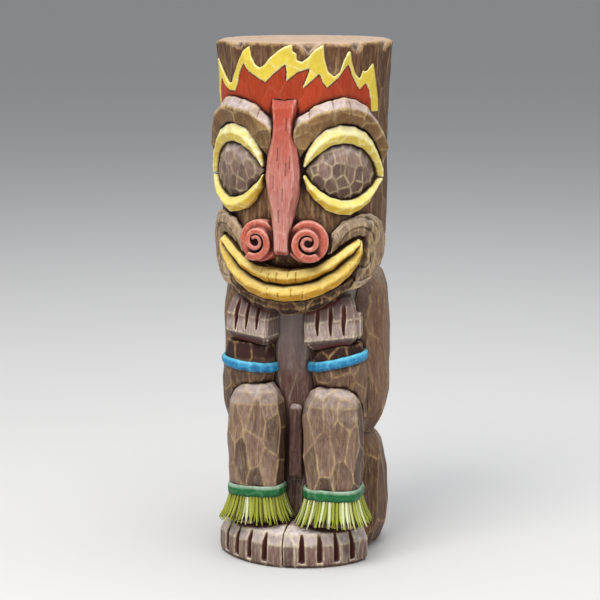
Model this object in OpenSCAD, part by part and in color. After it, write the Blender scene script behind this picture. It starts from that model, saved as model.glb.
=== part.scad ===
// Squatting tiki figure in the shape of a carved log, cast hollow, with painted relief.
// Millimetres, Z up. The face looks along -Y and the figure's own left hand is on +X.

/* [Hollow shell] */
// Radius of the space inside the head
head_cavity_r = 66; // [56:1:68]
// Radius of the space inside the body
body_cavity_r = 56; // [48:1:58]
// Thickness of the flat top
top_t = 12; // [8:1:20]
// Thickness of the plate that closes the bottom
plate_t = 6; // [4:1:12]

/* [Face relief] */
// How far the flame crest stands out of the head
crest_raise = 1.4; // [0.8:0.2:2.4]
// How far the brow ridge stands out of the head
brow_raise = 11; // [9:0.5:13]
// How far the eyelids stand out of the head
lid_raise = 9.5; // [7:0.5:11]
// How far the eyeballs bulge out of the head
eye_bulge = 7.5; // [5:0.5:9]
// How far the cheek folds stand out of the head
cheek_raise = 8.5; // [6:0.5:10]
// How far the lips stand out of the head
lip_raise = 11; // [8:0.5:13]
// Height of the coiled ridge on each nostril
coil_h = 6.5; // [4:0.5:8]

/* [Limbs] */
// How far wrist and ankle bands stand out of the limb
band_raise = 2.5; // [1.5:0.5:3.5]
// Depth of the grooves between the fingers
finger_cut = 6; // [4:1:9]
// Depth of the grooves between the toes
toe_cut = 9; // [6:1:14]
// How far the grass fringe spreads beyond the ankle
fringe_flare = 10; // [7:1:11]
// Number of grass strands round each ankle
strands = 34; // [24:2:40]

/* [Hidden] */
$fn = 96;

figure_h = 508;
leg_x = 42;
right_leg_x = 34.5;      // the right leg stands nearer the middle
y_shift = 6.2;          // centres the footprint on the origin
neck_z = 284;           // underside of the head
core_r = 81;            // head between the jaw and the crest
neck_r = 68;
rim_r = 85.5;           // head at the flat top
flare_z = 445;
jaw_z = 318;
deep_r = 66;            // relief is drawn from here and then cut off by the head
scroll_az = 15.2;        // turn of the nostrils from the front
crest_sink = 3;
throat_t = 16;
body_r = 65;
body_y = 14;
foot_y = -8;
foot_r = 86;
eps = 0.01;

wood = [0.40, 0.29, 0.22];
yellow = [0.93, 0.76, 0.20];
red = [0.74, 0.22, 0.14];
blue = [0.10, 0.60, 0.85];
green = [0.05, 0.45, 0.20];
lime = [0.66, 0.80, 0.16];

// Stations of the relief: [angle from the front, height], angles grow towards +X.
brow_rows = [
    // angle, top edge, ridge, lower edge
    [6.8, 434, 424, 392], [10, 438, 431, 399], [14.5, 442, 435, 408.5], [20, 448, 440, 418],
    [28, 453, 444, 428], [38, 455, 446, 431.5], [48, 453, 444, 429.5], [57, 446, 437, 423],
    [64, 436, 427, 413.5], [70, 425, 416, 400.5], [75, 415, 406, 390]
];
lid_top_out = [
    [12.5, 393], [14.5, 404], [19.5, 417], [27, 426.5], [36, 430], [46, 428], [55, 422],
    [62, 412], [67.5, 400], [71, 387], [72, 378.5]
];
lid_top_in = [
    [13.5, 391.5], [18, 399], [23.5, 406], [31, 412], [38, 413.5], [46, 412], [53, 407.5],
    [59, 401], [63.5, 393], [66.5, 385], [67.5, 378.5]
];
lid_low_in = [
    [13.5, 383.5], [18, 375], [23, 368.5], [30, 362], [37, 359], [43.5, 358.5], [50, 361],
    [56.5, 365.5], [62.5, 371], [67, 377]
];
lid_low_out = [
    [12.5, 382], [15.5, 370], [20.5, 360], [27, 351.5], [35, 346.5], [43, 345.5], [51, 349],
    [58, 356], [64.5, 365.5], [71.5, 377]
];
eye_mid = [41, 386];
eye_edge = [
    [13.8, 387.5], [18.6, 398], [24, 405.2], [31.2, 411.2], [38, 412.7], [45.8, 411.2],
    [52.6, 406.7], [58.4, 400.3], [62.8, 392.6], [65.8, 384.8], [66.2, 378],
    [62, 371.8], [56, 366.4], [49.8, 361.9], [43.4, 359.4], [37, 359.9], [30.2, 362.9],
    [23.5, 369.3], [18.6, 375.7]
];
lip_top_out = [
    [0, 291.5], [11, 293], [21, 297.3], [30, 304], [38, 311.5], [45, 317.5], [50.5, 321]
];
lip_top_in = [
    [0, 279.6], [11, 281.4], [21, 286.2], [30, 292.8], [37, 299.8], [43, 306.4], [47.5, 312.4]
];
lip_low_in = [
    [0, 277.4], [11, 279], [21.5, 283.6], [30, 290.2], [36, 295.8], [41, 301.7], [45.5, 307.4],
    [47.9, 312.6]
];
lip_low_out = [
    [0, 263], [13, 265], [25, 270.5], [35, 278.3], [43, 286.5], [49, 296], [52.8, 306.5],
    [52, 319.5]
];
cheek_out = [
    [27, 308], [31, 326], [39, 339], [51, 344], [63, 343], [73, 335], [79, 319],
    [78, 301], [71, 286], [61, 277]
];
cheek_in = [
    [30, 306.5], [36, 314], [44, 321], [51.5, 325], [57, 322], [59.5, 312], [58.5, 299],
    [54, 286], [47.5, 277], [41, 270.5]
];
cheek_edge = [3, 4, 4.5, 5, 5, 5, 4.5, 4, 3, 2];
// Jaw line: angle, bottom edge, top of the chin under the lip, how far it stands out.
jaw_rows = [
    [0, 249, 262.6, 6], [12, 251, 264.3, 6], [24, 255.5, 269.5, 6], [34, 261, 276, 5],
    [42, 267, 279, 3], [50, 272, 281, -1], [57, 276, 282.5, -6]
];
// Flame crest seen from the front: x, z.
flame_top = [
    [-77, 441], [-77.5, 470], [-76, 490], [-70, 480], [-64, 472], [-60, 467.5], [-56, 468],
    [-52, 478], [-47, 490], [-41, 499], [-34, 504], [-33, 494], [-29, 486], [-24, 483],
    [-19, 486], [-13, 493], [-6, 499], [1, 503], [8, 505], [8.5, 499], [12, 497],
    [12.5, 491], [17, 489], [23, 493], [29, 500], [36, 504.5], [37, 492], [40, 480],
    [45, 475], [50, 479], [53, 489], [58, 499], [59.5, 487], [62, 477], [65.5, 472],
    [68, 480], [70.5, 479], [75, 486], [77, 470], [77, 441]
];
flame_low = [
    [-73.5, 441], [-73.5, 462], [-71, 472], [-66, 465], [-59, 460], [-52, 460.5],
    [-49, 467], [-46, 479], [-41, 488], [-38, 482], [-31, 477], [-18, 470], [-9, 479],
    [2, 488], [3, 480], [2, 471],
    [13, 480], [25, 484], [21, 474], [17, 464], [27, 473], [33, 479], [35, 471], [39, 465],
    [49, 475], [57, 487], [60, 475], [65, 463], [70, 469], [72.5, 460], [73.5, 441]
];
flame_foot = [[60, 440], [40, 442], [14, 434], [-14, 434], [-40, 442], [-60, 440]];

function on(p, r) = [r * sin(p[0]), -r * cos(p[0]), p[1]];
function middle(a, b) = (a + b) / 2;
function flipped(list) = [for (i = [len(list) - 1:-1:0]) list[i]];
function mirrored(list) = [for (p = list) [-p[0], p[1]]];
// A bar's section: two walls rising from deep in the head to a ridge between them.
function bar(upper, lower, edge, ridge) = [
    on(upper, deep_r), on(upper, core_r + edge), on(middle(upper, lower), core_r + ridge),
    on(lower, core_r + edge), on(lower, deep_r)
];
function oval(cx, cy, a, b, z, n, slope = 0) = [
    for (k = [0:n - 1])
        let (u = a * cos(360 * (k + 0.5) / n), v = b * sin(360 * (k + 0.5) / n))
        [cx + u, cy + v, z + slope * u]
];

// Rounded block: an oval with fuller corners.
function full(t) = sign(t) * pow(abs(t), 0.6);
function block(cx, cy, a, b, z, n) = [
    for (k = [0:n - 1])
        let (t = 360 * (k + 0.5) / n)
        [cx + a * full(cos(t)), cy + b * full(sin(t)), z]
];

// Closed skin over rings of equal length, the rings counter-clockwise seen from their end.
module loft(rings) {
    n = len(rings[0]);
    m = len(rings);
    sides = [
        for (i = [0:m - 2], j = [0:n - 1])
            let (a = i * n + j, b = i * n + (j + 1) % n)
            each [[a, a + n, b + n], [a, b + n, b]]
    ];
    first = [for (j = [1:n - 2]) [0, j, j + 1]];
    last = [for (j = [1:n - 2]) [(m - 1) * n, (m - 1) * n + j + 1, (m - 1) * n + j]];
    polyhedron([for (ring = rings) each ring], concat(sides, first, last));
}

// Solid of revolution of the head, grown by e.
module head_core(e = 0) {
    rotate_extrude()
        polygon([
            [0, neck_z], [neck_r + e, neck_z], [neck_r + 4 + e, neck_z + 8],
            [neck_r + 8 + e, neck_z + 18], [core_r - 1.5 + e, jaw_z], [core_r + e, jaw_z + 22],
            [core_r + e, flare_z], [rim_r + e, figure_h], [0, figure_h]
        ]);
}

module body_core() {
    translate([0, body_y, 0])
        cylinder(r = body_r, h = neck_z);
}

// An outline in x and z, pushed out of the front of the figure turned by az.
module pushed(az, near, far) {
    rotate([0, 0, az])
        translate([0, -near, 0])
            rotate([90, 0, 0])
                linear_extrude(far - near)
                    children();
}

module on_head() {
    difference() {
        children();
        head_core();
    }
}

module other_side() {
    mirror([1, 0, 0])
        children();
}

module placed(tint) {
    color(tint)
        translate([0, y_shift, 0])
            children();
}

module crest_band() {
    difference() {
        head_core(crest_raise);
        head_core(-crest_sink);
    }
}

module crest_yellow_shape() {
    intersection() {
        crest_band();
        pushed(0, 5, 100)
            polygon(concat(flame_top, flipped(flame_low)));
    }
}

module crest_red_shape() {
    difference() {
        intersection() {
            crest_band();
            pushed(0, 5, 100)
                polygon(concat(flame_low, flame_foot));
        }
        brow_blank();
        other_side()
            brow_blank();
        nose_blank();
    }
}

module brow_blank() {
    loft([
        for (s = brow_rows) [
            on([s[0], s[1]], deep_r), on([s[0], s[1]], core_r + 5),
            on([s[0], s[2]], core_r + brow_raise), on([s[0], s[3]], core_r + 5.5),
            on([s[0], s[3]], deep_r)
        ]
    ]);
}

module nose_blank() {
    rows = [
        // height, half width of the flat front, its distance from the axis
        [309, 5.5, 93], [313, 5.5, 98], [330, 5.5, 98.5], [348, 6.5, 98], [364, 10, 98],
        [382, 12.5, 97.5], [400, 11, 96], [420, 7.5, 93.5], [434, 7.5, 91], [446, 9.5, 87.5],
        [458, 12.5, 79.5]
    ];
    loft([
        for (s = rows) [
            [-s[1] - 3.5, -60, s[0]], [-s[1] - 3.5, 7 - s[2], s[0]], [-s[1], -s[2], s[0]],
            [s[1], -s[2], s[0]], [s[1] + 3.5, 7 - s[2], s[0]], [s[1] + 3.5, -60, s[0]]
        ]
    ]);
}

module eyeball_blank() {
    n = len(eye_edge);
    shrunk = [for (p = eye_edge) eye_mid + 0.62 * (p - eye_mid)];
    points = concat(
        [for (p = eye_edge) on(p, deep_r)],
        [for (p = eye_edge) on(p, core_r + 0.35 * eye_bulge)],
        [for (p = shrunk) on(p, core_r + 0.85 * eye_bulge)],
        [on(eye_mid, deep_r), on(eye_mid, core_r + eye_bulge)]
    );
    faces = [
        for (j = [0:n - 1])
            let (k = (j + 1) % n)
            each [
                [j, k, n + k], [j, n + k, n + j],
                [n + j, n + k, 2 * n + k], [n + j, 2 * n + k, 2 * n + j],
                [2 * n + j, 2 * n + k, 3 * n + 1], [k, j, 3 * n]
            ]
    ];
    polyhedron(points, faces);
}

module upper_lid_blank() {
    loft([
        for (i = [0:len(lid_top_out) - 1])
            bar(lid_top_out[i], lid_top_in[i], 0.6 * lid_raise, lid_raise)
    ]);
}

module lower_lid_blank() {
    loft([
        for (i = [0:len(lid_low_out) - 1])
            bar(lid_low_in[i], lid_low_out[i], 0.6 * lid_raise, lid_raise)
    ]);
}

module cheek_blank() {
    loft([
        for (i = [0:len(cheek_out) - 1])
            bar(cheek_out[i], cheek_in[i], cheek_edge[i], cheek_edge[i] - 5 + cheek_raise)
    ]);
}

module upper_lip_blank() {
    rows = [for (i = [0:len(lip_top_out) - 1]) [lip_top_out[i], lip_top_in[i]]];
    left = [for (i = [len(rows) - 1:-1:1]) mirrored(rows[i])];
    loft([for (s = concat(left, rows)) bar(s[0], s[1], 0.55 * lip_raise, lip_raise)]);
}

module lower_lip_blank() {
    rows = [for (i = [0:len(lip_low_out) - 1]) [lip_low_in[i], lip_low_out[i]]];
    left = [for (i = [len(rows) - 1:-1:1]) mirrored(rows[i])];
    loft([for (s = concat(left, rows)) bar(s[0], s[1], 0.55 * lip_raise, lip_raise)]);
}

module jaw_blank() {
    left = [for (s = flipped(jaw_rows)) if (s[0] > 0) [-s[0], s[1], s[2], s[3]]];
    loft([
        for (s = concat(left, jaw_rows))
            let (e = core_r + s[3])
            [
                on([s[0], s[1] + 4], 44), on([s[0], neck_z], 44), on([s[0], neck_z], neck_r),
                on([s[0], s[2]], e - 6), on([s[0], s[2]], e - 1),
                on([s[0], s[1] + 0.45 * (s[2] - s[1])], e), on([s[0], s[1]], e - 7)
            ]
    ]);
}

// Coiled nostril: a disc with a ridge that winds inwards, drawn for the +X side.
module scroll_blank() {
    coil = [for (i = [0:44]) 14.3 * i];
    function reach(a) = 16 * exp(-0.8 * a / 360);
    function half(a) = 0.19 * reach(a) + 0.5;
    function spot(a, r) = [r * cos(305 - a), r * sin(305 - a)];
    ridge = concat(
        [for (a = coil) spot(a, reach(a) + half(a))],
        [for (a = flipped(coil)) spot(a, reach(a) - half(a))]
    );
    translate([0, 0, 321]) {
        pushed(scroll_az, 70, 92)
            circle(r = 19.6);
        pushed(scroll_az, 91.9, 92 + coil_h)
            polygon(ridge);
    }
}

module upper_arm_blank() {
    rows = [
        // height, centre x, centre y, half width, half depth
        [284, 54, 14, 15, 20], [278, 55, 13, 21, 27], [264, 55, 12, 26, 33],
        [240, 55, 10, 28, 35], [200, 55, 6, 28.5, 35], [165, 56, 0, 28, 34],
        [148, 56, -4, 27, 31.5], [136, 55.5, -6, 24, 27.5], [126, 55, -7, 18.5, 22],
        [119, 54, -8, 11, 14]
    ];
    loft([for (s = flipped(rows)) oval(s[1], s[2], s[3], s[4], s[0], 16)]);
}

module forearm_blank(grow = 0) {
    rows = [
        [142, 47, -36, 23, 20], [165, 45.5, -40, 26, 23], [190, 44, -43, 27, 24],
        [206, 43, -43.5, 26.5, 22.5], [217, 42, -43, 25, 20]
    ];
    loft([for (s = rows) oval(s[1], s[2], s[3] + grow, s[4] + grow, s[0], 16)]);
}

module wrist_band_blank(slope, low) {
    loft([
        for (s = [[0, 1.2], [2.2, 2.5], [6.2, 2.5], [8.4, 1.2]])
            oval(43.3, -43.3, 26.8 + s[1] * band_raise / 2.5, 23.2 + s[1] * band_raise / 2.5,
                 low + s[0], 16, slope)
    ]);
}

module hand_block() {
    rows = [
        // height, half width, front, corner bevel
        [214, 19, -2, 3], [221, 24.5, -10.5, 3], [225, 25.5, -13, 3], [241.5, 25.5, -10.5, 3],
        [253, 24, -4, 3], [261, 21, 5, 3]
    ];
    tilt = 0.1;
    loft([
        for (s = rows) [
            for (p = [
                [-s[1], 24], [-s[1], s[2] + s[3]], [s[3] - s[1], s[2]], [s[1] - s[3], s[2]],
                [s[1], s[2] + s[3]], [s[1], 24]
            ])
                [p[0], p[1], s[0] + tilt * p[0]]
        ]
    ]);
}

module finger_groove(x) {
    loft([
        for (s = [[227, 2, -16], [246, 7.4, -13], [275, 11, -6]])
            [
                [x - s[1] / 2, s[2], s[0]], [x + s[1] / 2, s[2], s[0]],
                [x + s[1] / 10, s[2] + 4 + finger_cut, s[0]],
                [x - s[1] / 10, s[2] + 4 + finger_cut, s[0]]
            ]
    ]);
}

// The thumb shows only on the figure's left hand.
module hand_blank(thumb = true) {
    width = thumb ? 1 : 0.9;
    translate([39.5, -58, thumb ? 0 : 2])
        rotate([0, 0, 14])
        scale([width, 1, 1]) {
            difference() {
                hand_block();
                for (x = [-12.6, 0, 12.6])
                    finger_groove(x);
            }
            if (thumb)
                loft([
                    for (s = [[224, 2.5, 5], [229, 4.5, 8], [242, 4.5, 8], [249, 2.5, 5]])
                        oval(27, 0, s[1], s[2], s[0], 8)
                ]);
        }
}

leg_rows = [
    // height, half width, half depth
    [38, 23.5, 23], [56, 24.5, 23.5], [70, 25.5, 24], [90, 27, 25.5], [120, 28, 26.5],
    [146, 28, 26.5], [159, 26, 25], [169, 21.5, 20.5], [175.5, 14, 13]
];

module leg_blank(x = leg_x) {
    loft([for (s = leg_rows) block(x, -53, s[1], s[2], s[0], 16)]);
}

module ankle_band_blank(x = leg_x) {
    loft([
        for (s = [[65.5, 1.2], [68, 2.5], [73.5, 2.5], [76, 1.2]])
            block(x, -53, 25.6 + s[1] * band_raise / 2.5, 24.2 + s[1] * band_raise / 2.5,
                  s[0], 16)
    ]);
}

// One blade of grass: tied round the ankle at the top, leaning outwards at the bottom.
module strand(x, a) {
    module knot(rx, ry, z, r, h) {
        translate([x + rx * full(cos(a)), ry * full(sin(a)) - 53, z])
            rotate([0, 0, a])
                cylinder(r = r, h = h, $fn = 6);
    }
    low = 41 + 1.5 * sin(5 * a);
    hull() {
        knot(24, 23, 64.5, 2.8, 1);
        knot(21 + fringe_flare, 20 + fringe_flare, low, 132 / strands, 2.5);
        knot(22, 21, 45.5, 2.6, 1);
    }
}

module fringe_blank(x = leg_x) {
    for (k = [0:strands - 1])
        strand(x, 360 * (k + 0.37) / strands);
    loft([
        block(x, -53, 21 + fringe_flare, 20 + fringe_flare, 43.5, 16),
        block(x, -53, 26.2, 25, 65.3, 16)
    ]);
}

module haunch_blank() {
    rows = [
        // height, centre x, centre y, half width, half depth
        [0, 39, 13, 27, 47], [4, 42, 13, 30, 50], [22, 45, 14, 34, 51], [46, 45, 15, 36, 50],
        [78, 45, 15, 35.5, 46], [104, 43, 8, 33, 41], [130, 38, -4, 29, 33],
        [148, 35, -17, 21, 24], [156, 35, -24, 13, 15]
    ];
    loft([for (s = rows) oval(s[1], s[2], s[3], s[4], s[0], 16)]);
}

module foot_blank() {
    intersection() {
        translate([0, foot_y, 0])
            rotate_extrude()
                polygon([
                    [30, 0], [foot_r - 3, 0], [foot_r - 0.6, 3.5], [foot_r, 9],
                    [foot_r - 0.5, 23], [foot_r - 6, 33], [foot_r - 18, 38], [30, 38]
                ]);
        translate([0, foot_y, -1])
            linear_extrude(50)
                polygon([[0.6, -1], [0.6, -110], [110 * sin(62), -110], [110 * sin(62), -110 * cos(62)]]);
    }
}

module toe_groove(az) {
    translate([0, foot_y, 5])
        rotate([0, 0, az])
            linear_extrude(50)
                polygon([[-4.4, -foot_r - 3], [4.4, -foot_r - 3], [0.3, toe_cut - foot_r],
                         [-0.3, toe_cut - foot_r]]);
}

module foot_shape() {
    difference() {
        foot_blank();
        for (az = [12.8, 24.8, 36.3, 48.3])
            toe_groove(az);
        body_core();
        haunch_blank();
    }
}

module brow_shape() { on_head() difference() { brow_blank(); nose_blank(); } }
module eyeball_shape() { on_head() eyeball_blank(); }
module upper_lid_shape() { on_head() upper_lid_blank(); }
module lower_lid_shape() { on_head() lower_lid_blank(); }

module scroll_shape() {
    difference() {
        scroll_blank();
        head_core();
        nose_blank();
    }
}

module cheek_shape() {
    difference() {
        cheek_blank();
        head_core();
        jaw_blank();
        scroll_blank();
    }
}

module jaw_shape() {
    difference() {
        jaw_blank();
        translate([0, body_y, neck_z - 60])
            cylinder(r = body_r, h = 80);
        upper_lip_blank();
        lower_lip_blank();
    }
}

module upper_arm_shape() {
    difference() {
        upper_arm_blank();
        body_core();
        forearm_blank();
        haunch_blank();
    }
}

module forearm_shape(x = leg_x, thumb = true) {
    difference() {
        forearm_blank();
        body_core();
        leg_blank(x);
        hand_blank(thumb);
        haunch_blank();
    }
}

module hand_shape(thumb = true) {
    difference() {
        hand_blank(thumb);
        body_core();
        jaw_blank();
        upper_arm_blank();
    }
}

module wrist_band_shape(slope = 0.23, low = 195, thumb = true) {
    difference() {
        wrist_band_blank(slope, low);
        forearm_blank();
        body_core();
        upper_arm_blank();
        hand_blank(thumb);
    }
}

module leg_shape(x = leg_x) {
    difference() {
        leg_blank(x);
        body_core();
    }
}

module haunch_shape(x = leg_x) {
    difference() {
        haunch_blank();
        body_core();
        leg_blank(x);
    }
}

module ankle_band_shape(x = leg_x) {
    difference() {
        ankle_band_blank(x);
        leg_blank(x);
        body_core();
        haunch_blank();
    }
}

module fringe_shape(x = leg_x) {
    difference() {
        fringe_blank(x);
        leg_blank(x);
        body_core();
        haunch_blank();
    }
}

module head_block() {
    placed(wood)
        difference() {
            head_core();
            crest_yellow_shape();
            crest_red_shape();
            translate([0, 2, neck_z + throat_t])
                cylinder(r = head_cavity_r, h = figure_h - top_t - neck_z - throat_t);
            translate([0, body_y, neck_z - 1])
                cylinder(r = body_cavity_r - 6, h = throat_t + 2);
        }
}

module crest_yellow() { placed(yellow) crest_yellow_shape(); }
module crest_red() { placed(red) crest_red_shape(); }
module jaw() { placed(wood) jaw_shape(); }
module brow_left() { placed(wood) brow_shape(); }
module brow_right() { placed(wood) other_side() brow_shape(); }
module eyeball_left() { placed(wood) eyeball_shape(); }
module eyeball_right() { placed(wood) other_side() eyeball_shape(); }
module upper_lid_left() { placed(yellow) upper_lid_shape(); }
module upper_lid_right() { placed(yellow) other_side() upper_lid_shape(); }
module lower_lid_left() { placed(yellow) lower_lid_shape(); }
module lower_lid_right() { placed(yellow) other_side() lower_lid_shape(); }
module nose_bridge() { placed(red) on_head() nose_blank(); }
module nostril_scroll_left() { placed(red) scroll_shape(); }
module nostril_scroll_right() { placed(red) other_side() scroll_shape(); }
module cheek_left() { placed(wood) cheek_shape(); }
module cheek_right() { placed(wood) other_side() cheek_shape(); }
module upper_lip() { placed(yellow) on_head() upper_lip_blank(); }
module lower_lip() { placed(yellow) on_head() lower_lip_blank(); }

module torso() {
    placed(wood)
        difference() {
            body_core();
            translate([0, body_y, -1])
                cylinder(r = body_cavity_r, h = neck_z - 7);
            translate([0, body_y, neck_z - 9])
                cylinder(r = body_cavity_r - 6, h = 10);
        }
}

module upper_arm_left() { placed(wood) upper_arm_shape(); }
module upper_arm_right() { placed(wood) other_side() upper_arm_shape(); }
module forearm_left() { placed(wood) forearm_shape(); }
module forearm_right() { placed(wood) other_side() forearm_shape(right_leg_x, false); }
module hand_left() { placed(wood) hand_shape(); }
module hand_right() { placed(wood) other_side() hand_shape(false); }
module wrist_band_left() { placed(blue) wrist_band_shape(); }
module wrist_band_right() { placed(blue) other_side() wrist_band_shape(0.11, 189.5, false); }

module loin_block() {
    placed(wood)
        difference() {
            translate([3.5, 0, 0])
                loft([
                    for (s = [[78, 6, 53], [84, 7, 55.5], [146, 7, 55.5], [151, 6.5, 55], [155, 5, 51.6]])
                        [
                            [-s[1], -30, s[0]], [-s[1], 2 - s[2], s[0]], [2 - s[1], -s[2], s[0]],
                            [s[1] - 2, -s[2], s[0]], [s[1], 2 - s[2], s[0]], [s[1], -30, s[0]]
                        ]
                ]);
            body_core();
        }
}

module leg_left() { placed(wood) leg_shape(); }
module leg_right() { placed(wood) other_side() leg_shape(right_leg_x); }
module haunch_left() { placed(wood) haunch_shape(); }
module haunch_right() { placed(wood) other_side() haunch_shape(right_leg_x); }
module ankle_band_left() { placed(green) ankle_band_shape(); }
module ankle_band_right() { placed(green) other_side() ankle_band_shape(right_leg_x); }
module grass_fringe_left() { placed(lime) fringe_shape(); }
module grass_fringe_right() { placed(lime) other_side() fringe_shape(right_leg_x); }
module foot_left() { placed(wood) foot_shape(); }
module foot_right() { placed(wood) other_side() foot_shape(); }

module base_plate() {
    placed(wood)
        translate([0, body_y, 0])
            cylinder(r = body_cavity_r, h = plate_t);
}

head_block();
crest_yellow();
crest_red();
jaw();
brow_left();
brow_right();
eyeball_left();
eyeball_right();
upper_lid_left();
upper_lid_right();
lower_lid_left();
lower_lid_right();
nose_bridge();
nostril_scroll_left();
nostril_scroll_right();
cheek_left();
cheek_right();
upper_lip();
lower_lip();
torso();
upper_arm_left();
upper_arm_right();
forearm_left();
forearm_right();
hand_left();
hand_right();
wrist_band_left();
wrist_band_right();
loin_block();
leg_left();
leg_right();
haunch_left();
haunch_right();
ankle_band_left();
ankle_band_right();
grass_fringe_left();
grass_fringe_right();
foot_left();
foot_right();
base_plate();
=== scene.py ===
"""Looks of the squatting tiki figure.

Each CAD solid is redrawn as a fine mesh, chiselled, given wood grain and painted. Lengths are in
millimetres until a mesh is built; angles on the figure are degrees from its front, left side positive.
"""

import itertools
import math

import bpy
import numpy as np
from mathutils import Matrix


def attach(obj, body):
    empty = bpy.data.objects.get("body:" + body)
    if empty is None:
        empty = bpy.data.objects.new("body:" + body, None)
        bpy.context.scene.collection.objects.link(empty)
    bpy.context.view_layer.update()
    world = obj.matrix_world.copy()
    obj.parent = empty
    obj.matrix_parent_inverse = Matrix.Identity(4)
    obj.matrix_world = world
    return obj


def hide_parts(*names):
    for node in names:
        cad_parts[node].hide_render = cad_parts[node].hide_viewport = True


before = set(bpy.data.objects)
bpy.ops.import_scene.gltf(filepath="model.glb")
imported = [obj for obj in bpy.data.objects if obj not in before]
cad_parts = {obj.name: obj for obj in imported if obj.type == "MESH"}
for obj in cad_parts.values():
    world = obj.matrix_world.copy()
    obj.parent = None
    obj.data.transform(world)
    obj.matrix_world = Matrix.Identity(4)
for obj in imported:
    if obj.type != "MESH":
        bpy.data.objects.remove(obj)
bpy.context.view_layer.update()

MM = 0.001
AXIS_Y = 6.2  # the head's axis stands this far behind the origin
TOP_Z = 508.0
NECK_Z = 284.0
BODY_Y = AXIS_Y + 14.0  # the body's axis stands further back
BODY_RADIUS = 65.0
HEAD_HEIGHTS = [NECK_Z, 292, 302, 318, 340, 445, TOP_Z]
HEAD_RADII = [68, 72, 76, 79.5, 80.7, 80.7, 85.5]
MM_PER_DEGREE = 1.5  # along the face
LEG_X = {"left": 42.0, "right": -34.5}
LEG_Y = AXIS_Y - 53.0


# ---------------------------------------------------------------- mesh arithmetic
def around(quads):
    """Directed edges of a closed quad mesh: from, to."""
    return quads.ravel(), np.roll(quads, -1, axis=1).ravel()


def smooth(co, quads, passes, pull=0.6):
    """Pulls each point towards the mean of its neighbours."""
    a, b = around(quads)
    count = np.maximum(np.bincount(a, minlength=len(co)), 1)
    for _ in range(passes):
        mean = np.stack([np.bincount(a, co[b, k], len(co)) for k in range(3)], 1) / count[:, None]
        co = co + pull * (mean - co)
    return co


def normals(co, quads):
    """Unit normal at each point."""
    face = np.cross(co[quads[:, 2]] - co[quads[:, 0]], co[quads[:, 3]] - co[quads[:, 1]])
    total = np.zeros_like(co)
    for corner in range(4):
        for k in range(3):
            total[:, k] += np.bincount(quads[:, corner], face[:, k], len(co))
    return total / np.maximum(np.linalg.norm(total, axis=1), 1e-12)[:, None]


def hashed(ix, iy, iz, seed):
    """A fixed number from 0 to 1 for each corner of the noise grid."""
    h = (ix * 374761393 + iy * 668265263 + iz * 2147483647 + seed * 1274126177) & 0xFFFFFFFF
    h = ((h ^ (h >> 13)) * 1103515245) & 0xFFFFFFFF
    return ((h ^ (h >> 16)) & 0xFFFF) / 65535.0


def corners(t):
    """The eight corners of a grid cell, each with its weight for points that lie at t in the cell."""
    for dx, dy, dz in itertools.product((0, 1), repeat=3):
        weight = (
            (t[:, 0] if dx else 1 - t[:, 0])
            * (t[:, 1] if dy else 1 - t[:, 1])
            * (t[:, 2] if dz else 1 - t[:, 2])
        )
        yield dx, dy, dz, weight


def value_noise(p, size, seed):
    """Smooth noise from 0 to 1 with features of the given size in x, y, z."""
    q = p / np.asarray(size, float)
    base = np.floor(q).astype(np.int64)
    t = q - base
    t = t * t * (3 - 2 * t)
    out = 0
    for dx, dy, dz, weight in corners(t):
        out = out + weight * hashed(base[:, 0] + dx, base[:, 1] + dy, base[:, 2] + dz, seed)
    return out


def step(v, low, high):
    """Smooth rise from 0 at low to 1 at high."""
    t = np.clip((v - low) / (high - low), 0, 1)
    return t * t * (3 - 2 * t)


def chisel(co, cell, seed, spacing=0.82, tries=5000, batch=20000):
    """Cells of a chisel over the surface, their centres at least the spacing apart in cell sizes.
    For each point: squared distance to the nearest centre in cell sizes, distance in mm to the
    ridge between cells, and its cell's own random number."""
    rng = np.random.default_rng(seed)
    cell = np.asarray(cell, float)
    q = co / cell
    centres = np.empty((0, 3))
    for i in rng.permutation(len(q))[:tries]:
        if not len(centres) or ((centres - q[i]) ** 2).sum(1).min() > spacing**2:
            centres = np.vstack([centres, q[i]])
    tints = rng.random(len(centres))
    near, ridge, tint = (np.empty(len(q)) for _ in range(3))
    for start in range(0, len(q), batch):
        rows = slice(start, start + batch)
        part = q[rows]
        d2 = (part**2).sum(1)[:, None] + (centres**2).sum(1)[None] - 2 * part @ centres.T
        two = np.argpartition(d2, 1, axis=1)[:, :2]
        pair = np.take_along_axis(d2, two, 1)
        swap = pair[:, 0] > pair[:, 1]
        two[swap] = two[swap][:, ::-1]
        pair.sort(axis=1)
        gap = np.linalg.norm((centres[two[:, 0]] - centres[two[:, 1]]) / cell, axis=1)
        near[rows] = np.maximum(pair[:, 0], 0)
        ridge[rows] = (pair[:, 1] - pair[:, 0]) / (2 * gap)
        tint[rows] = tints[two[:, 0]]
    return near, ridge, tint


SCOOP_LEVEL = 0.55  # share of a scoop's depth that lies above the first surface
UNCUT = (0.3 * SCOOP_LEVEL, 9.0, 0.5)  # near, ridge and tint of a piece without chisel cells
RIDGE_WIDTH = 0.85


def carve(co, quads, cell, depth, grain, seed):
    """Scoops of a chisel and wood grain along Z. Returns points, ridge paint and cell tint."""
    if cell:
        near, ridge, tint = chisel(co, cell, seed)
    else:
        near, ridge, tint = (np.full(len(co), v) for v in UNCUT)
    lift = depth * (np.minimum(near / 0.3, 1.6) - SCOOP_LEVEL)
    fine_grain = value_noise(co, (2.1, 2.1, 34), seed)
    broad_grain = value_noise(co, (4.5, 4.5, 60), seed + 1)
    lift = lift + grain * (fine_grain + 0.6 * broad_grain - 0.8)
    co = co + normals(co, quads) * lift[:, None]
    broken = 0.2 + 0.8 * step(value_noise(co, (15, 15, 22), seed + 2), 0.3, 0.62)
    return co, np.exp(-((ridge / RIDGE_WIDTH) ** 2)) * broken, tint


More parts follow.
